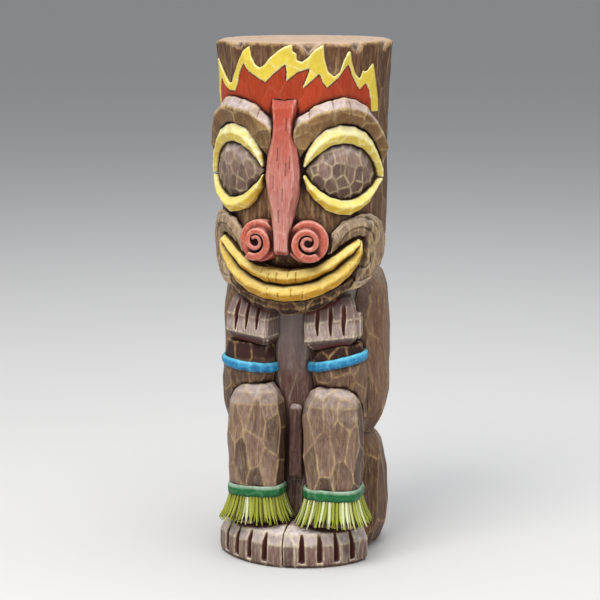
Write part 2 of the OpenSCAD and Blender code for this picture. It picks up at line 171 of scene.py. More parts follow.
# ---------------------------------------------------------------- pieces
pieces = []


def dense_copy(node, voxel):
    """The CAD solid as an even quad mesh, in millimetres."""
    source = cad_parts[node]
    mesh = source.data.copy()
    mesh.transform(source.matrix_world)
    held = bpy.data.objects.new("held", mesh)
    bpy.context.scene.collection.objects.link(held)
    voxels = held.modifiers.new("voxels", "REMESH")
    voxels.mode = "VOXEL"
    voxels.voxel_size = voxel * MM
    graph = bpy.context.evaluated_depsgraph_get()
    made = bpy.data.meshes.new_from_object(held.evaluated_get(graph))
    co = np.empty(len(made.vertices) * 3, np.float32)
    made.vertices.foreach_get("co", co)
    quads = np.empty(len(made.loops), np.int32)
    made.loops.foreach_get("vertex_index", quads)
    bpy.data.objects.remove(held)
    bpy.data.meshes.remove(made)
    bpy.data.meshes.remove(mesh)
    return co.reshape(-1, 3).astype(float) / MM, quads.reshape(-1, 4).astype(np.int64)


def add_piece(name, node, slot, look, co, quads, ridge, tint, ends=()):
    """Keeps a finished shape until the hollows between all the pieces are known."""
    pieces.append({
        "name": name, "node": node, "slot": slot, "look": look,
        "co": co, "quads": quads, "ridge": ridge, "tint": tint, "ends": list(ends),
    })


def worn_edges(co, quads, voxel, seed):
    """Where a dry brush catches: points that stand out of their smoothed surroundings."""
    away = ((co - smooth(co, quads, 8)) * normals(co, quads)).sum(1) / voxel
    patchy = 0.6 + 0.4 * step(value_noise(co, (7, 7, 9), seed + 5), 0.25, 0.6)
    return np.clip((away - 0.09) / 0.2, 0, 1) * patchy


def painted_line(co, height, slope, seed):
    """A worn paint line across a piece at a height that may slope with x."""
    worn = 0.35 + 0.65 * value_noise(co, (4, 4, 4), seed + 7)
    return np.exp(-((co[:, 2] - height - slope * co[:, 0]) ** 2)) * worn


def redraw(node, slot, look, voxel, passes, cell, depth, grain=0.0, shape=None, swell=0.4, lines=()):
    """One CAD solid, rounded, swollen to its first size, reshaped if asked, chiselled and grained.
    The seed is worked out from the node's name."""
    seed = sum(ord(c) * (i + 3) for i, c in enumerate(node)) % 9973
    co, quads = dense_copy(node, voxel)
    co = smooth(co, quads, passes)
    co = co + swell * normals(co, quads)
    if shape:
        co = shape(co, quads)
    co, ridge, tint = carve(co, quads, cell, depth, grain, seed)
    ridge = np.maximum(ridge, worn_edges(co, quads, voxel, seed))
    for height, slope in lines:
        ridge = np.maximum(ridge, painted_line(co, height, slope, seed))
    add_piece(node + "_carved", node, slot, look, co, quads, ridge, tint)


CAP_RINGS = 22


def turned(radius, z_low, z_high, around_n, up_n, centre_y):
    """A closed log skin from a radius that depends on angle and height, with flat ends."""
    angle = np.arange(around_n) * 2 * math.pi / around_n
    shares = [(k + 0.4) / CAP_RINGS for k in range(CAP_RINGS)]
    rings = [(z_low, share) for share in shares]
    rings += [(z, 1.0) for z in np.linspace(z_low, z_high, up_n)]
    rings += [(z_high, share) for share in reversed(shares)]
    co = []
    for z, share in rings:
        r = radius(angle, z) * share
        co.append(np.stack([r * np.sin(angle), centre_y - r * np.cos(angle), np.full(around_n, z)], 1))
    co = np.concatenate(co)
    i = np.arange(around_n)
    j = (i + 1) % around_n
    belt = np.stack([i, j, around_n + j, around_n + i], 1)
    quads = np.concatenate([belt + k * around_n for k in range(len(rings) - 1)])
    last = (len(rings) - 1) * around_n
    ends = [list(range(around_n - 1, -1, -1)), list(range(last, last + around_n))]
    return co, quads, ends


# Notches in the top rim above the flame tips: angle, half width in degrees, drop in mm.
NOTCHES = ((-34, 7, 8), (16, 10, 14), (49, 6, 13), (78, 8, 12))
NOTCH_DEPTH = 3.5


def notched(degrees, z):
    """0 outside the rim's notches, rising to 1 at the middle of each on the rim."""
    inside = 0
    for at, half, drop in NOTCHES:
        inside = np.maximum(inside, 1 - np.abs(degrees - at) / half - (TOP_Z - z) / drop)
    return inside


def head_radius(angle, z):
    degrees = (np.degrees(angle) + 180) % 360 - 180
    return np.interp(z, HEAD_HEIGHTS, HEAD_RADII) - NOTCH_DEPTH * step(notched(degrees, z), 0, 0.45)


def body_radius(angle, z):
    return np.full_like(angle, BODY_RADIUS)


SAWN = 2.0  # cell tint that asks for the sawn top's paint


def sawn_top(co, centre_y, tint):
    """Growth rings on the flat top, a chipped rim, and bare wood in the rim's notches."""
    bevel_from, bare_to = 80.5, 84.5
    flat = co[:, 2] > TOP_Z - 2.5
    turn = np.arctan2(co[:, 0], co[:, 1])
    out = np.hypot(co[:, 0], co[:, 1] - centre_y)
    rings = 0.25 * np.sin(out * 1.05 + 2.5 * value_noise(co, (24, 24, 24), 5))
    chips = value_noise(np.stack([turn * 30, turn * 0, turn * 0], 1), (9, 9, 9), 8)
    bevel = np.clip((out - bevel_from) / 5, 0, 1) * 3.2 * chips
    near_rim = np.clip((co[:, 2] - TOP_Z + 8) / 6, 0, 1)
    low_top = np.minimum(co[:, 2], TOP_Z - 0.4) + rings * (out < 80)
    co[:, 2] = np.where(flat, low_top, co[:, 2]) - bevel * near_rim
    bare = (flat & (out < bare_to)) | (notched(angle_of(co), co[:, 2]) > 0.1)
    return co, np.where(bare, SAWN, tint)


def brushed_highlight_under_eyes(co, seed):
    """Dry brush strokes on the log between the eyes and the mouth, painted as the highlight on
    cheekbone planes that the log lacks.
    """
    strokes = step(value_noise(co, (1.6, 1.6, 22), seed + 9), 0.35, 0.75)
    low_face = np.exp(-(((co[:, 2] - 346) / 26) ** 2)) * (np.abs(angle_of(co)) < 60)
    return 0.8 * low_face * strokes


def log_piece(name, node, look, radius, z_low, z_high, centre_y, cell, depth, seed, around_n, up_n):
    """The head's or the body's round log."""
    co, quads, ends = turned(radius, z_low, z_high, around_n, up_n, centre_y)
    co = smooth(co, quads, 3, 0.4)
    co, ridge, tint = carve(co, quads, cell, depth, 0.55, seed)
    if z_high >= TOP_Z:
        co, tint = sawn_top(co, centre_y, tint)
        # pale strokes under the eyes: painted highlight in place of lit cheekbone planes
        ridge = np.maximum(ridge, brushed_highlight_under_eyes(co, seed))
    co[:, 2] = np.maximum(co[:, 2], 0.0)
    add_piece(name, node, "brown_wash", look, co, quads, ridge, tint, ends)


# ---------------------------------------------------------------- sculpted detail
def angle_of(co):
    """Degrees from the front, round the head's axis."""
    return np.degrees(np.arctan2(co[:, 0], -(co[:, 1] - AXIS_Y)))


def nicked(spots, reach, depth):
    """Short vertical nicks at the given angles from the front."""

    def shape(co, quads):
        out = normals(co, quads)
        angle = angle_of(co)
        cut = np.zeros(len(co))
        for at, low, high in spots:
            near = np.exp(-(((angle - at) * MM_PER_DEGREE / reach) ** 2))
            cut += near * (co[:, 2] > low) * (co[:, 2] < high)
        return co - out * (depth * np.minimum(cut, 1))[:, None]

    return shape


def creased(at, z, rings):
    """Round creases about a point of the face, as folds of a cheek."""

    def shape(co, quads):
        away = np.hypot((angle_of(co) - at) * MM_PER_DEGREE, co[:, 2] - z)
        cut = sum(np.exp(-(((away - r) / 1.1) ** 2)) for r in rings)
        return co - normals(co, quads) * cut[:, None]

    return shape


# Heights of pale lines along the carved bends, and where the brows' nicks are, in degrees.
HAND_BEND, HAND_LEDGE, HAND_SLOPE = 241.3 - 3.9, 224.6 - 3.9, 0.1
KNEE_LINE = 158.5
TOE_LINES = ((31.5, 0), (22.5, 0))
BROW_NICKS, BROW_LOW, BROW_HIGH = (16, 31, 42), 438, 460

for side in ("left", "right"):
    sign, lift = (1, 0) if side == "left" else (-1, 2)
    nicks = [(sign * a, BROW_LOW, BROW_HIGH) for a in BROW_NICKS]
    redraw(
        f"brow_{side}", "brow_wash", "brow", voxel=0.85, passes=4, cell=(26, 26, 17), depth=1.0,
        grain=0.3, shape=nicked(nicks, reach=0.55, depth=0.8),
    )
    redraw(
        f"eyeball_{side}", "eyeball_wash", "eyeball", voxel=0.8, passes=8, cell=(10.5, 10.5, 13),
        depth=0.75, grain=0.2, swell=0.9,
    )
    redraw(
        f"upper_lid_{side}", "yellow_paint", "lid", voxel=0.7, passes=4, cell=(18, 18, 11),
        depth=0.5, swell=0.6,
    )
    redraw(
        f"lower_lid_{side}", "yellow_paint", "yellow", voxel=0.7, passes=4, cell=(18, 18, 11),
        depth=0.5, swell=0.6,
    )
    redraw(
        f"nostril_scroll_{side}", "red_paint", "coil", voxel=0.6, passes=11, cell=(12, 12, 12),
        depth=0.2, swell=0.5,
    )
    redraw(
        f"cheek_{side}", "brown_wash", "cheek", voxel=0.9, passes=8, cell=(9, 9, 26), depth=0.6,
        grain=0.7, shape=creased(at=sign * 50, z=311, rings=(21, 31)),
    )
    redraw(
        f"upper_arm_{side}", "brown_wash", "belly", voxel=1.1, passes=26, cell=(21, 21, 62),
        depth=1.5, grain=0.5,
    )
    redraw(
        f"forearm_{side}", "brown_wash", "wrist", voxel=1.0, passes=14, cell=(17, 17, 27),
        depth=1.0, grain=0.4,
    )
    redraw(
        f"hand_{side}", "brown_wash", "hand", voxel=0.7, passes=3, cell=None, depth=0.3,
        grain=0.3, swell=0.0,
        lines=[(z + lift, sign * HAND_SLOPE) for z in (HAND_BEND, HAND_LEDGE)],
    )
    redraw(
        f"wrist_band_{side}", "blue_paint", "blue", voxel=0.6, passes=4, cell=(12, 12, 9),
        depth=0.3, swell=0.9,
    )
    redraw(
        f"leg_{side}", "brown_wash", "leg", voxel=1.0, passes=10, cell=(15, 15, 35), depth=1.4,
        grain=0.45, lines=((KNEE_LINE, 0),),
    )
    redraw(
        f"haunch_{side}", "brown_wash", "brown", voxel=1.2, passes=20, cell=(20, 20, 60),
        depth=1.5, grain=0.5,
    )
    redraw(
        f"ankle_band_{side}", "green_paint", "green", voxel=0.6, passes=4, cell=(12, 12, 9),
        depth=0.3, swell=0.9,
    )
    redraw(
        f"foot_{side}", "brown_wash", "foot", voxel=0.8, passes=3, cell=(22, 22, 40), depth=0.4,
        grain=0.35, swell=0.1, lines=TOE_LINES,
    )

high_cracks = [(a, z, z + 9) for a, z in ((-9, 281), (-4, 282), (3, 287), (8, 283), (-14, 290))]
redraw(
    "upper_lip", "yellow_paint", "gold", voxel=0.75, passes=4, cell=(20, 20, 11), depth=0.5,
    grain=0.2, shape=nicked(high_cracks, reach=0.7, depth=0.8), swell=0.6,
)
low_cracks = [(a, z, z + 8) for a, z in ((-10, 268), (-3, 264), (5, 268), (12, 266))]
redraw(
    "lower_lip", "yellow_paint", "gold", voxel=0.75, passes=4, cell=(20, 20, 11), depth=0.5,
    grain=0.2, shape=nicked(low_cracks, reach=0.7, depth=0.8), swell=0.6,
)
redraw(
    "jaw", "brown_wash", "chin", voxel=1.1, passes=6, cell=(18, 18, 14), depth=0.7, grain=0.5,
)
redraw(
    "crest_yellow", "yellow_paint", "yellow", voxel=0.7, passes=3, cell=(20, 20, 24), depth=0.35,
    grain=0.25,
)
redraw(
    "crest_red", "red_paint", "red", voxel=0.8, passes=3, cell=(20, 20, 34), depth=0.45,
    grain=0.35, swell=0.0,
)
NOSE_NICKS = ((-2, 398), (3, 384), (-4, 372), (1, 360), (5, 391), (-1, 340), (2.5, 425))
nose_nicks = [(a, z, z + 12) for a, z in NOSE_NICKS]
redraw(
    "nose_bridge", "red_paint", "nose", voxel=0.75, passes=4, cell=(30, 30, 90), depth=0.4,
    grain=0.5, shape=nicked(nose_nicks, reach=0.5, depth=0.7),
)
redraw(
    "loin_block", "brown_wash", "loin", voxel=0.9, passes=4, cell=(10, 10, 60), depth=0.5,
    grain=0.5,
)
redraw(
    "base_plate", "base_board", "board", voxel=1.6, passes=2, cell=(30, 30, 30), depth=0.1,
    swell=0.0,
)
log_piece(
    "head_log", "head_block", "brown", radius=head_radius, z_low=NECK_Z, z_high=TOP_Z,
    centre_y=AXIS_Y, cell=(21, 21, 60), depth=1.1, seed=41, around_n=440, up_n=180,
)
log_piece(
    "body_log", "torso", "chest", radius=body_radius, z_low=0.0, z_high=NECK_Z, centre_y=BODY_Y,
    cell=(19, 19, 72), depth=1.1, seed=77, around_n=330, up_n=230,
)


# ---------------------------------------------------------------- grass fringes
STRAND_STEPS = 7


def strand(start, end, width, thick):
    """A tapering blade between two points that bows outwards, as rings of four points."""
    along = end - start
    out = np.array([start[0], start[1], 0.0])
    out /= np.linalg.norm(out)
    side = np.cross(out, along)
    side /= np.linalg.norm(side)
    face = np.cross(along, side)
    face /= np.linalg.norm(face)
    rings = []
    for k in range(STRAND_STEPS + 1):
        t = k / STRAND_STEPS
        w = width * (0.75 + 0.5 * math.sin(math.pi * min(t * 1.15, 1))) * (1 if t < 0.85 else 0.45)
        mid = start + along * t + face * -1.6 * math.sin(math.pi * t * 0.8)
        rings += [mid + side * w, mid + face * -thick, mid - side * w, mid + face * thick]
    return np.array(rings)


def strand_quads():
    """Faces of one strand: four sides and two ends."""
    i = np.arange(STRAND_STEPS)[:, None] * 4
    j = np.arange(4)[None]
    n = (j + 1) % 4
    sides = np.stack([i + j, i + n, i + 4 + n, i + 4 + j], -1).reshape(-1, 4)
    last = STRAND_STEPS * 4
    caps = np.array([[3, 2, 1, 0], [last, last + 1, last + 2, last + 3]])
    return np.concatenate([sides, caps])


def full(t):
    """A circle's sine or cosine with fuller corners, as the legs have."""
    return np.copysign(np.abs(t) ** 0.6, t)


def even_turns():
    """Angles that space points evenly round the leg's outline."""
    turn = np.linspace(0, 2 * math.pi, 1441)
    x, y = full(np.cos(turn)), full(np.sin(turn))
    run = np.concatenate([[0], np.cumsum(np.hypot(np.diff(x), np.diff(y)))])
    return lambda share: float(np.interp((share % 1) * run[-1], run, turn))


def on_outline(turn, half_width, half_depth, z):
    """A point of the leg's outline at the given size and height."""
    return np.array([half_width * full(math.cos(turn)), half_depth * full(math.sin(turn)), z])


STRANDS = 56  # in each of the two rings
BAND_HALF_WIDTH, BAND_HALF_DEPTH, BAND_Z = 25.4, 24.2, 67.5
HEM_HALF_WIDTH, HEM_Z = 33.8, 39.0


def fringe(side):
    """A dark skirt under two rings of leaning strands."""
    rng = np.random.default_rng(19 if side == "left" else 23)
    node = f"grass_fringe_{side}"
    co, quads = dense_copy(node, 0.8)
    co = smooth(co, quads, 8)
    co = co - normals(co, quads) * 2.0
    parts, faces, tints, base = [co], [quads], [np.zeros(len(co))], len(co)
    place = even_turns()
    centre = np.array([LEG_X[side], LEG_Y, 0.0])
    for k in range(2 * STRANDS):
        outer = k % 2
        share = (k + 0.7 * rng.random()) / (2 * STRANDS)
        turn, tip = place(share), place(share + 0.02 * (rng.random() - 0.5))
        high = on_outline(turn, BAND_HALF_WIDTH + outer, BAND_HALF_DEPTH + outer, BAND_Z)
        spread = HEM_HALF_WIDTH + 2.4 * outer + 1.4 * rng.random()
        low = on_outline(tip, spread, spread - 1.2, HEM_Z + 5.0 * rng.random())
        blade = strand(high, low, width=1.25 + 0.45 * rng.random(), thick=0.7) + centre
        parts.append(blade)
        faces.append(strand_quads() + base)
        tints.append(np.full(len(blade), 0.10 + 0.90 * rng.random()))
        base += len(blade)
    co = np.concatenate(parts)
    unbrushed = np.zeros(len(co))
    add_piece(node + "_strands", node, "lime_paint", "lime", co, np.concatenate(faces), unbrushed,
              np.concatenate(tints))


fringe("left")
fringe("right")


# ---------------------------------------------------------------- dark wash and painted shade in the hollows
CELL = 2.0  # mm, side of a cell of the coarse grid
LOW = np.array([-100.0, -104.0, -8.0])
SHAPE = (100, 104, 264)


def boxed(v, width):
    """The grid's mean over a box of the given width."""
    for axis in range(3):
        pad = [(0, 0)] * 3
        pad[axis] = (width // 2 + 1, width // 2)
        total = np.cumsum(np.pad(v, pad, mode="edge"), axis=axis)
        n = v.shape[axis]
        v = (np.take(total, range(width, width + n), axis) - np.take(total, range(n), axis)) / width
    return v


def solid_cells():
    """1 in every cell of a coarse grid that the outside air can't reach, 0 in the others."""
    skin = np.zeros(SHAPE, bool)
    for p in pieces:
        at = ((p["co"] - LOW) / CELL).astype(int)
        at = np.clip(at, 0, np.array(SHAPE) - 1)
        skin[at[:, 0], at[:, 1], at[:, 2]] = True
    air = np.zeros(SHAPE, bool)
    air[0], air[-1], air[:, 0], air[:, -1], air[:, :, -1] = True, True, True, True, True
    free = ~skin
    for _ in range(5):
        for axis in range(3):
            a, f = np.moveaxis(air, axis, 0), np.moveaxis(free, axis, 0)
            for k in range(1, len(a)):
                a[k] |= a[k - 1] & f[k]
            for k in range(len(a) - 2, -1, -1):
                a[k] |= a[k + 1] & f[k]
    return (~air).astype(np.float32)


def sampled(v, co):
    """The grid's value at each point, blended between cells."""
    q = (co - LOW) / CELL - 0.5
    base = np.clip(np.floor(q).astype(int), 0, np.array(SHAPE) - 2)
    t = np.clip(q - base, 0, 1)
    out = 0
    for dx, dy, dz, weight in corners(t):
        out = out + weight * v[base[:, 0] + dx, base[:, 1] + dy, base[:, 2] + dz]
    return out


def mark(p, narrow, wide):
    """Edge and hollow marks, from how much of each point's surroundings is solid."""
    out = normals(p["co"], p["quads"])
    away = p["co"] + out * 2.5  # mm off the surface
    # dark wash and painted shade: darker where much of the surroundings is solid or the surface dips
    tight = step(sampled(narrow, away), 0.30, 0.72)
    deep = step(sampled(wide, away), 0.46, 0.85)
    proud = ((p["co"] - smooth(p["co"], p["quads"], 7)) * out).sum(1)
    edge = step(proud, 0.07, 0.30)
    groove = step(-proud, 0.10, 0.45)
    p["edge"] = np.clip(np.maximum(p["ridge"] * 0.85, edge), 0, 1)
    p["hollow"] = np.clip(np.maximum(0.9 * tight + 0.6 * deep, groove * 0.8), 0, 1)
    if p["look"] == "red":  # the red field is outlined dark, not pale
        p["hollow"] = np.maximum(p["hollow"], 0.9 * edge)
        p["edge"] = 0.8 * p["ridge"]


narrow = wide = solid_cells()
for _ in range(3):
    narrow, wide = boxed(narrow, 3), boxed(wide, 5)
for p in pieces:
    mark(p, narrow, wide)


# ---------------------------------------------------------------- paint
def mixed(tree, share, a, b, blend="MIX"):
    """Colour a with b over it. Each value may be a number, a colour or a socket."""
    node = tree.nodes.new("ShaderNodeMix")
    node.data_type = "RGBA"
    node.blend_type = blend
    for value, socket in ((share, node.inputs[0]), (a, node.inputs[6]), (b, node.inputs[7])):
        if isinstance(value, bpy.types.NodeSocket):
            tree.links.new(value, socket)
        elif isinstance(value, tuple):
            socket.default_value = (*value, 1)
        else:
            socket.default_value = value
    return node.outputs[2]


def ranged(tree, value, low, high, to_low=0.0, to_high=1.0):
    """The value's range from low to high, stretched to another one and clamped there."""
    node = tree.nodes.new("ShaderNodeMapRange")
    node.inputs[1].default_value, node.inputs[2].default_value = low, high
    node.inputs[3].default_value, node.inputs[4].default_value = to_low, to_high
    tree.links.new(value, node.inputs[0])
    return node.outputs[0]


def times(tree, a, b):
    node = tree.nodes.new("ShaderNodeMath")
    node.operation = "MULTIPLY"
    for value, socket in ((a, node.inputs[0]), (b, node.inputs[1])):
        if isinstance(value, bpy.types.NodeSocket):
            tree.links.new(value, socket)
        else:
            socket.default_value = value
    return node.outputs[0]


def noise(tree, place, scale, stretch, detail=5, rough=0.6):
    """Noise drawn out along Z where stretch is under 1."""
    scaled = tree.nodes.new("ShaderNodeMapping")
    scaled.inputs["Scale"].default_value = (1, 1, stretch)
    tree.links.new(place, scaled.inputs["Vector"])
    node = tree.nodes.new("ShaderNodeTexNoise")
    node.inputs["Scale"].default_value = scale
    node.inputs["Detail"].default_value = detail
    node.inputs["Roughness"].default_value = rough
    tree.links.new(scaled.outputs[0], node.inputs["Vector"])
    return node.outputs["Fac"]


def axes_of(tree, vector):
    node = tree.nodes.new("ShaderNodeSeparateXYZ")
    tree.links.new(vector, node.inputs[0])
    return node.outputs


def mesh_marks(tree):
    """Edge, hollow and tint, as marked on the mesh."""
    marks = tree.nodes.new("ShaderNodeAttribute")
    marks.attribute_name = "marks"
    split = tree.nodes.new("ShaderNodeSeparateColor")
    tree.links.new(marks.outputs["Color"], split.inputs[0])
    return split.outputs


def darker_and_lighter(tree, colour, tint, share):
    """Each chisel cell a little darker or lighter than the next."""
    shade = ranged(tree, tint, 0, 1, 1 - share, 1 + share)
    grey = tree.nodes.new("ShaderNodeCombineColor")
    for socket in grey.inputs[:3]:
        tree.links.new(shade, socket)
    return mixed(tree, 1.0, colour, grey.outputs[0], "MULTIPLY")


def dry_brushed(tree, place, colour, patch, stroke, share):
    """Pale patches and thin upright strokes left by a dry brush."""
    scumble = ranged(tree, noise(tree, place, 140, 0.35, rough=0.75), 0.52, 0.72)
    colour = mixed(tree, times(tree, scumble, 0.8 * share), colour, patch)
    swept = ranged(tree, noise(tree, place, 330, 0.14, rough=0.7), 0.5, 0.68)
    return mixed(tree, times(tree, swept, share), colour, stroke)


def zoned(tree, place, facing, colour, start, end, share, tone):
    """Another tone on the front, from the start height to its full share at the end height."""
    front = ranged(tree, facing[1], 0.3, -0.1)
    reached = ranged(tree, axes_of(tree, place)[2], start, end, 0, share)
    return mixed(tree, times(tree, front, reached), colour, tone)


def surfaced(tree, colour, relief, rough, bump):
    """Connects the colour and a fine relief to the shader."""
    shader = tree.nodes["Principled BSDF"]
    tree.links.new(colour, shader.inputs["Base Color"])
    shader.inputs["Roughness"].default_value = rough
    shader.inputs["Specular IOR Level"].default_value = 0.2
    node = tree.nodes.new("ShaderNodeBump")
    node.inputs["Strength"].default_value = bump
    node.inputs["Distance"].default_value = 0.0008
    tree.links.new(relief, node.inputs["Height"])
    tree.links.new(node.outputs[0], shader.inputs["Normal"])


def paint(name, body, body_2, deep, ridge, upper, up_share, rough=0.45, ridge_share=0.9,
          streak=0.09, bump=0.35, deep_share=0.95, tint_share=0.35, top=None, under=None,
          brush=0.0, zone=None, side=0.0):
    """Layers from the bottom: two body tones in streaks, a tint for each chisel cell, dry brushing,
    painted shade on sides and undersides, painted highlight on upward faces, a zone of another
    tone, brushed ridges, the sawn top, and dark wash with painted shade in the hollows."""
    made = bpy.data.materials.new(name)
    made.use_nodes = True
    tree = made.node_tree
    place = tree.nodes.new("ShaderNodeTexCoord").outputs["Object"]
    edge, hollow, tint = mesh_marks(tree)
    fine = noise(tree, place, 900, streak, detail=6, rough=0.65)
    broad = noise(tree, place, 70, 0.45, detail=4)
    dry = noise(tree, place, 260, 0.5, detail=4, rough=0.7)
    facing = axes_of(tree, tree.nodes.new("ShaderNodeNewGeometry").outputs["Normal"])
    colour = mixed(tree, ranged(tree, fine, 0.32, 0.68), body, body_2)
    colour = mixed(tree, ranged(tree, broad, 0.45, 0.8, 0, 0.5), colour, body_2)
    colour = darker_and_lighter(tree, colour, tint, tint_share)
    if brush:
        colour = dry_brushed(tree, place, colour, upper, ridge, brush)
    # painted shade: faces turned away from the front take some of the under colour
    if side:
        colour = mixed(tree, ranged(tree, facing[1], -0.6, -0.25, 0, side), colour, under)
    # painted shade: faces that look down take the under colour
    if under:
        colour = mixed(tree, ranged(tree, facing[2], -0.08, -0.6, 0, 0.85), colour, under)
    # painted highlight: faces that look up take the upper colour, broken up by the dry-brush noise
    lit_faces_up = times(tree, ranged(tree, facing[2], 0.12, 0.75), ranged(tree, dry, 0.3, 0.6, 0.45, 1.0))
    colour = mixed(tree, times(tree, lit_faces_up, up_share), colour, upper)
    if zone:
        colour = zoned(tree, place, facing, colour, **zone)
    brushed = times(tree, edge, ranged(tree, dry, 0.36, 0.58, 0.1, 1.0))
    colour = mixed(tree, times(tree, brushed, ridge_share), colour, ridge)
    if top:
        grained = mixed(tree, ranged(tree, fine, 0.35, 0.65), top[0], top[1])
        colour = mixed(tree, ranged(tree, tint, 1.5, 1.9), colour, grained)
    # dark wash and painted shade in the hollows
    colour = mixed(tree, times(tree, hollow, deep_share), colour, deep)
    surfaced(tree, colour, fine, rough, bump)
    return made
